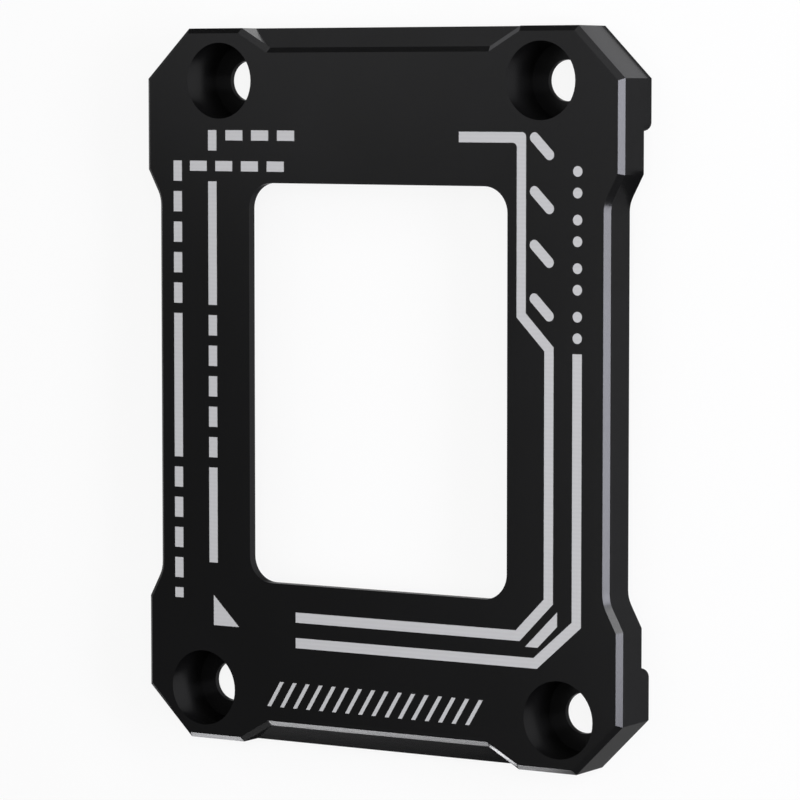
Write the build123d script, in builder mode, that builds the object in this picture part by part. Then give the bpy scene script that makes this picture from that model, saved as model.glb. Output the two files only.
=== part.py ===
from build123d import *
from math import radians, tan
import os

# Contact frame for a processor socket: one plate, milled from aluminium, with a window for the
# processor's lid and a counterbored screw hole in each corner.
# Millimetres. The frame lies on its four feet: the origin is on the surface under them, at the middle
# of the plate. Z points up out of the front face, Y along the plate and X across it.

# Plate
width = 53.4
length = 70.0
thickness = 6.0
corner_cut = 4.9
front_chamfer = 0.5

# Waist: the long sides step in between the corner lugs
lug_end = 21.2
waist_depth = 1.45
waist_run = 2.75
waist_radius = 3.0

# Notches: the front of each short side is cut back between the lugs and falls away in a bevel
notch_depth = 1.9
notch_floor = 24.6
notch_slope = 30.0
bevel_drop = 3.0

# Window, and the pocket behind it that clears the processor's package
window_width = 29.0
window_length = 39.0
window_radius = 2.5
window_shift = 0.5
lip_thickness = 0.95
pocket_width = 38.5
pocket_length = 46.0
pocket_radius = 1.5

# Screw holes: the two rows have different spacings
hole_row = 29.9
upper_spacing = 36.0
lower_spacing = 40.1
hole_diameter = 3.9
hole_break = 0.4
counterbore_diameter = 7.4
counterbore_depth = 5.0

# Feet: pads under the lugs, round the screw holes
foot_height = 1.85
foot_reach = 4.7
foot_inner_radius = 2.0
foot_end_radius = 0.8
foot_edge_radius = 0.5

# Etched marks: strokes, dashes and dots of one width, the dashes on one pitch
mark_depth = 0.05
stroke = 1.0
dash = 2.0
pitch = 3.0

# Outer column at the left: a bar at the middle, dashes above and below it, and a square at the end
outer_column = -22.9
outer_bar_end = 7.1
outer_dash_start = 9.1
outer_dashes_above = 5
outer_dashes_below = 4
outer_square = -20.6

# Inner column: dashes at the middle between two bars, one dash above, a triangle at the first corner below
inner_column = -18.8
inner_dashes = 5
inner_bar_start = 8.0
inner_upper_bar_end = 20.1
inner_lower_bar_end = 17.4
inner_top_dash = 24.1
triangle_top = -20.6
triangle_side = 3.0

# Rows of dashes that lead off from the tops of the two columns
upper_row = 24.6
upper_row_start = -16.25
upper_row_dashes = 3
lower_row = 21.6
lower_row_start = -20.45
lower_row_dashes = 4

# Circuit lines at the right and the bottom, and the gusset between their lower corners
inner_line = [(9.2, 24.6), (16.0, 24.6), (16.0, 8.0), (19.0, 4.9), (19.0, -18.8), (15.7, -22.2), (-9.2, -22.2)]
inner_line_radius = 0.45
outer_line = [(22.0, 4.55), (22.0, -20.8), (17.6, -24.7), (-9.2, -24.7)]
line_gusset = [(19.95, -19.7), (19.95, -21.1), (17.85, -23.2), (16.5, -23.2)]

# Slanted pills and pairs of dots, in two columns at the upper right
pill_column = 18.2
pill_top = 23.8
pill_pitch = 5.0
pill_run = 2.25
pill_turn = -45.0
pill_count = 4
dot_column = 22.0
dot_top = 21.5
dot_gap = 2.0
dot_pair_pitch = 4.5
dot_pairs = 4

# Strip of slanted hatching between the lower screw holes
hatch_middle = -0.3
hatch_row = -29.9
hatch_height = 2.5
hatch_lean = 1.5
hatch_stroke = 0.45
hatch_pitch = 1.5
hatch_count = 16

half_width = width / 2
half_length = length / 2
waist_half = half_width - waist_depth
waist_end = lug_end - waist_run
notch_line = half_length - notch_depth
notch_mouth = notch_floor + 2 * notch_depth / tan(radians(notch_slope))
bevel_foot = thickness - bevel_drop
bevel_head = thickness - front_chamfer
hole_places = [
    (-upper_spacing / 2, hole_row),
    (upper_spacing / 2, hole_row),
    (-lower_spacing / 2, -hole_row),
    (lower_spacing / 2, -hole_row),
]

# Corners of the plate's right side, from the upper corner cut down to the lower one
right_side = [
    (half_width - corner_cut, half_length),
    (half_width, half_length - corner_cut),
    (half_width, lug_end),
    (waist_half, waist_end),
    (waist_half, -waist_end),
    (half_width, -lug_end),
    (half_width, corner_cut - half_length),
    (half_width - corner_cut, -half_length),
]

# Corners of the lower notch, from right to left
lower_notch = [
    (notch_mouth / 2, -half_length),
    (notch_floor / 2, -notch_line),
    (-notch_floor / 2, -notch_line),
    (-notch_mouth / 2, -half_length),
]


def plate_outline(notch):
    """Outline of the plate, the same after half a turn, with its waists rounded where they begin."""
    one_half = right_side + notch
    other_half = [(-x, -y) for x, y in one_half]
    with BuildSketch() as outline:
        with BuildLine():
            Polyline(*one_half, *other_half, close=True)
        make_face()
        corner_columns = outline.vertices().group_by(Axis.X)
        fillet(corner_columns[1] + corner_columns[-2], radius=waist_radius)
    return outline.sketch


def foot_outline(hole_x):
    """Outline of the foot round a hole in the upper right corner."""
    inner_corner = (hole_x - foot_reach, hole_row - foot_reach)
    side_end = (half_width, hole_row - foot_reach)
    top_end = (hole_x - foot_reach, half_length)
    with BuildSketch() as outline:
        with BuildLine():
            Polyline(top_end, *right_side[:2], side_end, inner_corner, close=True)
        make_face()
        fillet(outline.vertices().sort_by_distance(inner_corner)[0], radius=foot_inner_radius)
        for end in (side_end, top_end):
            fillet(outline.vertices().sort_by_distance(end)[0], radius=foot_end_radius)
    return outline.sketch


def upright_bar(x, low, high):
    """An upright bar at x, added to the sketch in hand."""
    with Locations((x, (low + high) / 2)):
        Rectangle(stroke, high - low)


def dash_column(x, first_y, count, step):
    """Upright dashes at x, added to the sketch in hand."""
    with Locations(*[(x, first_y + step * i) for i in range(count)]):
        Rectangle(stroke, dash)


def dash_row(y, first_x, count):
    """Level dashes at y, added to the sketch in hand."""
    with Locations(*[(first_x + pitch * i, y) for i in range(count)]):
        Rectangle(dash, stroke)


def line_of(points):
    """A line of the common stroke width through the points, added to the sketch in hand."""
    with BuildLine() as path:
        Polyline(*points)
    trace(path.line, line_width=stroke)


with BuildSketch() as etched_marks:
    # Outer column
    upright_bar(outer_column, -outer_bar_end, outer_bar_end)
    dash_column(outer_column, outer_dash_start, outer_dashes_above, pitch)
    dash_column(outer_column, -outer_dash_start, outer_dashes_below, -pitch)
    with Locations((outer_column, outer_square)):
        Rectangle(stroke, stroke)

    # Inner column, with the triangle's upright edge on its middle line
    upright_bar(inner_column, inner_bar_start, inner_upper_bar_end)
    upright_bar(inner_column, -inner_lower_bar_end, -inner_bar_start)
    dash_column(inner_column, -pitch * (inner_dashes - 1) / 2, inner_dashes, pitch)
    dash_column(inner_column, inner_top_dash, 1, pitch)
    with Locations((inner_column, triangle_top)):
        Polygon((0, 0), (0, -triangle_side), (triangle_side, -triangle_side))

    # Rows that lead off from the columns
    dash_row(upper_row, upper_row_start, upper_row_dashes)
    dash_row(lower_row, lower_row_start, lower_row_dashes)

    # Circuit lines, the first bend of the inner one rounded
    line_of(inner_line)
    bend = Vector(*inner_line[1])
    for corner in (bend + (stroke / 2, stroke / 2), bend - (stroke / 2, stroke / 2)):
        fillet(etched_marks.vertices().sort_by_distance(corner)[0], radius=inner_line_radius)
    line_of(outer_line)
    Polygon(*line_gusset)

    # Pills and dots
    with Locations(*[(pill_column, pill_top - pill_pitch * i) for i in range(pill_count)]):
        SlotCenterToCenter(pill_run, stroke, rotation=pill_turn)
    for pair in range(dot_pairs):
        first_dot = dot_top - dot_pair_pitch * pair
        with Locations((dot_column, first_dot), (dot_column, first_dot - dot_gap)):
            Circle(stroke / 2)

    # Hatching
    with Locations((hatch_middle, hatch_row)):
        with GridLocations(hatch_pitch, 0, hatch_count, 1):
            Polygon(
                (0, 0),
                (hatch_stroke, 0),
                (hatch_stroke + hatch_lean, hatch_height),
                (hatch_lean, hatch_height),
                align=Align.CENTER,
            )

full_outline = plate_outline(notch=[])
notched_outline = plate_outline(notch=lower_notch)

with BuildPart() as contact_frame:
    # Front of the plate, with the notches and the chamfer round its edge
    with BuildSketch(Plane.XY.offset(bevel_foot)):
        add(notched_outline)
    extrude(amount=bevel_drop)
    chamfer(contact_frame.faces().sort_by(Axis.Z)[-1].outer_wire().edges(), length=front_chamfer)

    # Back of the plate, which keeps the whole outline
    with BuildSketch(Plane.XY.offset(foot_height)):
        add(full_outline)
    extrude(amount=bevel_foot - foot_height)

    # Bevels that lead from the notches down to the two short edges
    with BuildSketch(Plane.YZ):
        with BuildLine():
            Polyline((notch_line, bevel_head), (half_length, bevel_foot), (notch_line, bevel_foot), close=True)
        make_face()
        mirror(about=Plane.YZ)
    extrude(amount=notch_mouth / 2, both=True)

    # Feet, their soles rounded at the edge: the lower pair is the upper one turned half round
    for spacing, turn in ((upper_spacing, 0), (lower_spacing, 180)):
        with BuildSketch():
            with Locations(Location((0, 0, 0), (0, 0, turn))):
                add(foot_outline(spacing / 2))
            mirror(about=Plane.YZ)
        extrude(amount=foot_height)
    soles = contact_frame.faces().filter_by(Axis.Z).group_by(Axis.Z)[0]
    fillet(soles.edges(), radius=foot_edge_radius)

    # Window, and the pocket behind its lip
    with BuildSketch():
        with Locations((0, window_shift)):
            RectangleRounded(window_width, window_length, window_radius)
    extrude(amount=thickness, mode=Mode.SUBTRACT)
    with BuildSketch():
        with Locations((0, window_shift)):
            RectangleRounded(pocket_width, pocket_length, pocket_radius)
    extrude(amount=thickness - lip_thickness, mode=Mode.SUBTRACT)

    # Screw holes, their far edges broken
    with Locations(Plane.XY.offset(thickness)):
        with Locations(*hole_places):
            CounterBoreHole(hole_diameter / 2, counterbore_diameter / 2, counterbore_depth)
    soles = contact_frame.faces().filter_by(Axis.Z).group_by(Axis.Z)[0]
    hole_rims = [e for sole in soles for rim in sole.inner_wires() for e in rim.edges()]
    chamfer(hole_rims, length=hole_break)

    # Marks, etched a hair deep into the front face
    with BuildSketch(Plane.XY.offset(thickness)):
        add(etched_marks.sketch)
    extrude(amount=-mark_depth, mode=Mode.SUBTRACT)

contact_frame.part.label = "contact_frame"
os.makedirs("parts", exist_ok=True)
export_step(contact_frame.part, "parts/contact_frame.step")
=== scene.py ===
import math

import bpy
from mathutils import Euler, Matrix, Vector


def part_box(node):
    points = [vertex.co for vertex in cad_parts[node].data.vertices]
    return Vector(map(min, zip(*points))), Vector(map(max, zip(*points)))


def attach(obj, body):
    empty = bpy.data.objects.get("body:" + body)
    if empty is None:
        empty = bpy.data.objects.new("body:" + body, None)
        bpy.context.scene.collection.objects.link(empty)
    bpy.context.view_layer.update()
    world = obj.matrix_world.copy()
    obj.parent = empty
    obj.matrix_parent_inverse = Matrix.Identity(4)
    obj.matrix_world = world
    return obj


# Looks of a processor contact frame: a plate of black anodised aluminium that lies on its feet on a
# white board, with bright marks etched into its front face.
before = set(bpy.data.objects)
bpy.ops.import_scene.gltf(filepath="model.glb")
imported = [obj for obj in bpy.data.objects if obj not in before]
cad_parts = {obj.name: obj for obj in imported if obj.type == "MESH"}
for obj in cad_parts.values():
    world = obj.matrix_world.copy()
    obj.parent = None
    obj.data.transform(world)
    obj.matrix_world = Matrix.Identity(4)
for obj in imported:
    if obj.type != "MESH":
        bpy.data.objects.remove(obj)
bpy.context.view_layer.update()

# Sizes are in metres, apart from those of the lens, the stage and the lamps, which are in millimetres
MM = 0.001
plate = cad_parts["contact_frame"]
front_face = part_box("contact_frame")[1].z

# Etched marks: the bright metal fills its recess from just over the bottom to just under the front face
recess_depth = 0.05 * MM
recess_tolerance = 0.005 * MM
metal_gap = 0.005 * MM
metal_thickness = 0.035 * MM
weld_distance = 0.0005 * MM

# Camera: a long lens that looks down on the front face from the right and a little from the top
camera_target = Vector((2.72 * MM, -0.48 * MM, front_face))
camera_distance = 385.5 * MM
camera_lens = 181.86
camera_sensor = 36.0
camera_tilt = math.radians(-4.416)
camera_turn = math.radians(31.49)

# Stage: a board that reaches the horizon. Two of the black flags lie just over it, and one stands on it
board_reach = 3000.0
board_own_light = 0.88
flag_height = 0.2

# Walls of the studio: white at the horizon, dark from this angle up
wall_top = math.radians(5)
ceiling_light = 0.1


def linear(colour):
    """An sRGB hex colour, such as #1f1f20, as linear red, green, blue and alpha."""
    parts = [int(colour[i : i + 2], 16) / 255 for i in (1, 3, 5)]
    return [c / 12.92 if c <= 0.04045 else ((c + 0.055) / 1.055) ** 2.4 for c in parts] + [1.0]


def add(tree, kind, inputs=None, **settings):
    """Adds a node. Each input gets a value, a socket to link, or a node whose first output is meant."""
    made = tree.nodes.new(kind)
    for name, value in settings.items():
        setattr(made, name, value)
    for key, value in (inputs or {}).items():
        if isinstance(key, int):
            socket = made.inputs[key]
        else:
            socket = next(s for s in made.inputs if s.enabled and s.name == key)
        if isinstance(value, bpy.types.Node):
            value = next(s for s in value.outputs if s.enabled)
        if isinstance(value, bpy.types.NodeSocket):
            tree.links.new(value, socket)
        else:
            socket.default_value = value
    return made


def new_material(name):
    """An empty node material, with its tree and its output node."""
    material = bpy.data.materials.new(name)
    material.use_nodes = True
    tree = material.node_tree
    tree.nodes.clear()
    return material, tree, add(tree, "ShaderNodeOutputMaterial")


def bead_blasted_black_anodised_aluminium():
    """Aluminium, bead blasted after milling, then anodised and dyed black. The blasting leaves a fine, even
    grain with a satin gloss. The metal under the dye gives it, so it is dark grey, also at a slant."""
    grain = 0.16 * MM  # drawn about twice as coarse as the real dimples
    grain_height = 0.0015 * MM
    dye_patch = 9.0 * MM
    material, tree, output = new_material("bead_blasted_black_anodised_aluminium")
    place = add(tree, "ShaderNodeTexCoord").outputs["Object"]
    blasting = add(tree, "ShaderNodeTexNoise", {"Vector": place, "Scale": 1 / grain, "Detail": 3.0})
    dye = add(tree, "ShaderNodeTexNoise", {"Vector": place, "Scale": 1 / dye_patch, "Detail": 2.0})
    tone = add(
        tree,
        "ShaderNodeMix",
        {"Factor": dye, "A": linear("#2e2e2e"), "B": linear("#323233")},
        data_type="RGBA",
    )
    gloss = add(tree, "ShaderNodeMapRange", {"Value": blasting, "To Min": 0.19, "To Max": 0.24})
    bumps = add(
        tree, "ShaderNodeBump", {"Height": blasting, "Strength": 0.4, "Distance": grain_height}
    )
    metal = add(
        tree,
        "ShaderNodeBsdfPrincipled",
        {
            "Base Color": tone,
            "Metallic": 0.82,
            "Roughness": gloss,
            "Specular IOR Level": 0.0,
            "Specular Tint": linear("#aeaeae"),
            "Normal": bumps,
        },
    )
    tree.links.new(metal.outputs["BSDF"], output.inputs["Surface"])
    return material


def laser_etched_aluminium():
    """Aluminium whose black layer a laser burned off line by line. The rough, bleached lines scatter light,
    so the marks look pale grey and even, with hardly any gloss."""
    line_spacing = 0.3948 * MM  # drawn about six times as coarse as the real lines
    wave_length = math.pi / 10  # of the wave texture at a scale of 1
    material, tree, output = new_material("laser_etched_aluminium")
    place = add(tree, "ShaderNodeTexCoord").outputs["Object"]
    lines = add(
        tree,
        "ShaderNodeTexWave",
        {"Vector": place, "Scale": wave_length / line_spacing, "Distortion": 1.5, "Detail": 2.0},
        bands_direction="Y",
    )
    tone = add(
        tree,
        "ShaderNodeMix",
        {"Factor": lines, "A": linear("#c0c0c1"), "B": linear("#c4c4c5")},
        data_type="RGBA",
    )
    metal = add(
        tree,
        "ShaderNodeBsdfPrincipled",
        {"Base Color": tone, "Metallic": 0.0, "Roughness": 0.7, "Specular IOR Level": 0.2},
    )
    tree.links.new(metal.outputs["BSDF"], output.inputs["Surface"])
    return material


def white_board():
    """Matt white board. The eye and mirrors see it partly lit from within, which keeps its shadow faint."""
    material, tree, output = new_material("matt_white_board")
    paper = add(tree, "ShaderNodeBsdfDiffuse", {"Color": linear("#f4f4f4")})
    glow = add(tree, "ShaderNodeEmission", {"Color": linear("#ffffff"), "Strength": 1.0})
    ray = add(tree, "ShaderNodeLightPath").outputs
    seen = add(
        tree,
        "ShaderNodeMath",
        {0: ray["Is Camera Ray"], 1: ray["Is Glossy Ray"]},
        operation="MAXIMUM",
    )
    seen = add(tree, "ShaderNodeMath", {0: seen, 1: ray["Is Transmission Ray"]}, operation="MAXIMUM")
    share = add(tree, "ShaderNodeMath", {0: seen, 1: board_own_light}, operation="MULTIPLY")
    surface = add(tree, "ShaderNodeMixShader", {0: share, 1: paper, 2: glow})
    tree.links.new(surface.outputs["Shader"], output.inputs["Surface"])
    return material


def black_velvet():
    """Black velvet. Its pile swallows nearly all light."""
    material, tree, output = new_material("black_velvet")
    pile = add(tree, "ShaderNodeBsdfDiffuse", {"Color": linear("#050505")})
    tree.links.new(pile.outputs["BSDF"], output.inputs["Surface"])
    return material


def recess_filling(material):
    """Geometry Nodes tree that keeps the bottoms of the recesses and grows them to a closed thickness."""
    tree = bpy.data.node_groups.new("recess_filling", "GeometryNodeTree")
    tree.interface.new_socket("Geometry", in_out="OUTPUT", socket_type="NodeSocketGeometry")
    tree.interface.new_socket("Geometry", in_out="INPUT", socket_type="NodeSocketGeometry")
    for name in ("Bottom Height", "Tolerance", "Gap", "Thickness", "Weld Distance"):
        tree.interface.new_socket(name, in_out="INPUT", socket_type="NodeSocketFloat")
    given = tree.nodes.new("NodeGroupInput").outputs

    welded = add(
        tree,
        "GeometryNodeMergeByDistance",
        {"Geometry": given["Geometry"], "Distance": given["Weld Distance"]},
    )
    height = add(tree, "ShaderNodeSeparateXYZ", {"Vector": add(tree, "GeometryNodeInputPosition")})
    elsewhere = add(
        tree,
        "FunctionNodeCompare",
        {"A": height.outputs["Z"], "B": given["Bottom Height"], "Epsilon": given["Tolerance"]},
        operation="NOT_EQUAL",
    )
    bottoms = add(
        tree,
        "GeometryNodeDeleteGeometry",
        {"Geometry": welded, "Selection": elsewhere},
        domain="FACE",
    )
    lift = add(tree, "ShaderNodeCombineXYZ", {"Z": given["Gap"]})
    lifted = add(tree, "GeometryNodeSetPosition", {"Geometry": bottoms, "Offset": lift})
    grown = add(
        tree,
        "GeometryNodeExtrudeMesh",
        {
            "Mesh": lifted,
            "Offset": (0.0, 0.0, 1.0),
            "Offset Scale": given["Thickness"],
            "Individual": False,
        },
    )
    underside = add(tree, "GeometryNodeFlipFaces", {"Mesh": lifted})
    both = add(tree, "GeometryNodeJoinGeometry", {"Geometry": underside})
    tree.links.new(grown.outputs["Mesh"], both.inputs["Geometry"])
    closed = add(
        tree, "GeometryNodeMergeByDistance", {"Geometry": both, "Distance": given["Weld Distance"]}
    )
    real = add(tree, "GeometryNodeRealizeInstances", {"Geometry": closed})
    dressed = add(tree, "GeometryNodeSetMaterial", {"Geometry": real, "Material": material})
    add(tree, "NodeGroupOutput", {"Geometry": dressed})
    return tree


def etched_marks():
    """The bright metal of the marks, grown from the bottoms of the recesses in the plate."""
    source = bpy.data.objects.new("recessed_plate", plate.data.copy())
    bpy.context.scene.collection.objects.link(source)
    filling = source.modifiers.new("filling", "NODES")
    filling.node_group = recess_filling(laser_etched_aluminium())
    sizes = {
        "Bottom Height": front_face - recess_depth,
        "Tolerance": recess_tolerance,
        "Gap": metal_gap,
        "Thickness": metal_thickness,
        "Weld Distance": weld_distance,
    }
    for socket in filling.node_group.interface.items_tree:
        if socket.name in sizes:
            filling[socket.identifier] = sizes[socket.name]
    evaluated = source.evaluated_get(bpy.context.evaluated_depsgraph_get())
    mesh = bpy.data.meshes.new_from_object(evaluated)
    bpy.data.objects.remove(source)
    marks = bpy.data.objects.new("etched_marks", mesh)
    bpy.context.scene.collection.objects.link(marks)
    return marks


def lying(left, low, right, high, height):
    """Corners of a level rectangle, seen with Y up."""
    return [(left, low, height), (right, low, height), (right, high, height), (left, high, height)]


def standing(left_end, right_end, height):
    """Corners of an upright rectangle that stands on the board between two points."""
    return [(*left_end, 0), (*right_end, 0), (*right_end, height), (*left_end, height)]


def card(name, corners, material):
    """A flat card of the stage, its corners in millimetres."""
    mesh = bpy.data.meshes.new(name)
    mesh.from_pydata([Vector(corner) * MM for corner in corners], [], [(0, 1, 2, 3)])
    mesh.materials.append(material)
    made = bpy.data.objects.new(name, mesh)
    bpy.context.scene.collection.objects.link(made)
    return made


def black_flag(name, corners, material):
    """A black card by the frame. Nothing but the gloss of the metal shows it, as a dark facet."""
    made = card(name, corners, material)
    made.visible_camera = False
    made.visible_diffuse = False
    made.visible_shadow = False
    return made


def studio():
    """White walls round the board that fade to a dark ceiling."""
    world = bpy.data.worlds.new("studio")
    bpy.context.scene.world = world
    world.use_nodes = True
    tree = world.node_tree
    tree.nodes.clear()
    way = add(tree, "ShaderNodeSeparateXYZ", {"Vector": add(tree, "ShaderNodeTexCoord")})
    shade = add(
        tree,
        "ShaderNodeMapRange",
        {
            "Value": way.outputs["Z"],
            "From Min": 0.0,
            "From Max": math.sin(wall_top),
            "To Min": 1.0,
            "To Max": ceiling_light,
        },
    )
    walls = add(tree, "ShaderNodeBackground", {"Color": linear("#ffffff"), "Strength": shade})
    output = add(tree, "ShaderNodeOutputWorld")
    tree.links.new(walls.outputs["Background"], output.inputs["Surface"])


def softbox(name, centre, size, glow, colour="#ffffff", aim=(0, 0, 0), grid=180):
    """A soft lamp, its place, size and aim in millimetres. Its glow is the brightness of its face, where
    1 is white paper. A grid over it narrows the light to a cone of so many degrees."""
    half_cone = math.radians(grid) / 2
    # The same power in a narrower cone is brighter along the aim, by this gain
    grid_gain = math.tan(half_cone) / (math.tan(half_cone) - half_cone)
    lamp = bpy.data.lights.new(name, "AREA")
    lamp.color = linear(colour)[:3]
    lamp.shape = "RECTANGLE"
    lamp.size = size[0] * MM
    lamp.size_y = size[1] * MM
    lamp.spread = 2 * half_cone
    lamp.energy = glow * math.pi * lamp.size * lamp.size_y / grid_gain
    made = bpy.data.objects.new(name, lamp)
    made.location = Vector(centre) * MM
    made.rotation_euler = (Vector(aim) - Vector(centre)).to_track_quat("-Z", "Y").to_euler()
    made.visible_camera = False
    bpy.context.scene.collection.objects.link(made)


def camera():
    """The camera at the photograph's viewing angle."""
    lens = bpy.data.cameras.new("camera")
    lens.lens = camera_lens
    lens.sensor_width = camera_sensor
    made = bpy.data.objects.new("camera", lens)
    turn = Euler((camera_tilt, camera_turn, 0.0))
    made.rotation_euler = turn
    made.location = camera_target + turn.to_matrix() @ Vector((0, 0, camera_distance))
    bpy.context.scene.collection.objects.link(made)
    bpy.context.scene.camera = made


plate.material_slots[0].material = bead_blasted_black_anodised_aluminium()

marks = etched_marks()
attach(marks, "root")

velvet = black_velvet()
card("board", lying(-board_reach, -board_reach, board_reach, board_reach, height=0), white_board())
black_flag("lower_flag", lying(left=-45, low=-58, right=15, high=-35.6, height=flag_height), velvet)
black_flag("waist_flag", lying(left=25.4, low=17.8, right=29, high=21.5, height=flag_height), velvet)
black_flag("upper_flag", standing(left_end=(-70, 60), right_end=(7, 108), height=13), velvet)
studio()

# Large softboxes: they light the front face and the marks, and the right edge mirrors the first two
softbox("right_softbox", centre=(450, 5, 215), size=(240, 120), glow=17.5, colour="#f5f5ff")
softbox("upper_right_softbox", centre=(352, 205, 221), size=(150, 90), glow=10.0)
softbox("front_softbox", centre=(260, 60, 420), size=(200, 200), glow=6.3)
softbox("overhead_softbox", centre=(-25, 0, 450), size=(200, 320), glow=1.5)
softbox("top_softbox", centre=(-200, 172, 300), size=(300, 240), glow=0.8)
softbox("back_softbox", centre=(80, 420, 130), size=(400, 120), glow=1.1)

# Low strips with grids: each one is there for one facet of the rim, which mirrors it
softbox(
    "lower_edge_strip",
    centre=(-22, -62, 1.5),
    size=(50, 2.2),
    glow=148.0,
    aim=(0, 0, 25),
    grid=56,
)
softbox(
    "upper_right_cut_strip",
    centre=(24.55, 34.23, 1.0),
    size=(9, 2.5),
    glow=15.0,
    aim=(21.05, 30.73, 9.7),
    grid=72,
)
softbox(
    "upper_left_notch_strip",
    centre=(-16, 36.6, 1.0),
    size=(6, 3),
    glow=8.2,
    aim=(-14.7, 34.45, 4.8),
    grid=40,
)
softbox(
    "upper_right_notch_strip",
    centre=(3.6, 40.9, 2.3),
    size=(5.5, 2.4),
    glow=6.0,
    aim=(14, 34, 5.7),
    grid=30,
)
softbox(
    "lower_right_notch_strip",
    centre=(9.7, -37.2, 3.45),
    size=(3.2, 0.45),
    glow=270.0,
    aim=(14.1, -33.8, 5.8),
    grid=8,
)
camera()
bpy.context.scene.view_settings.view_transform = "Standard"
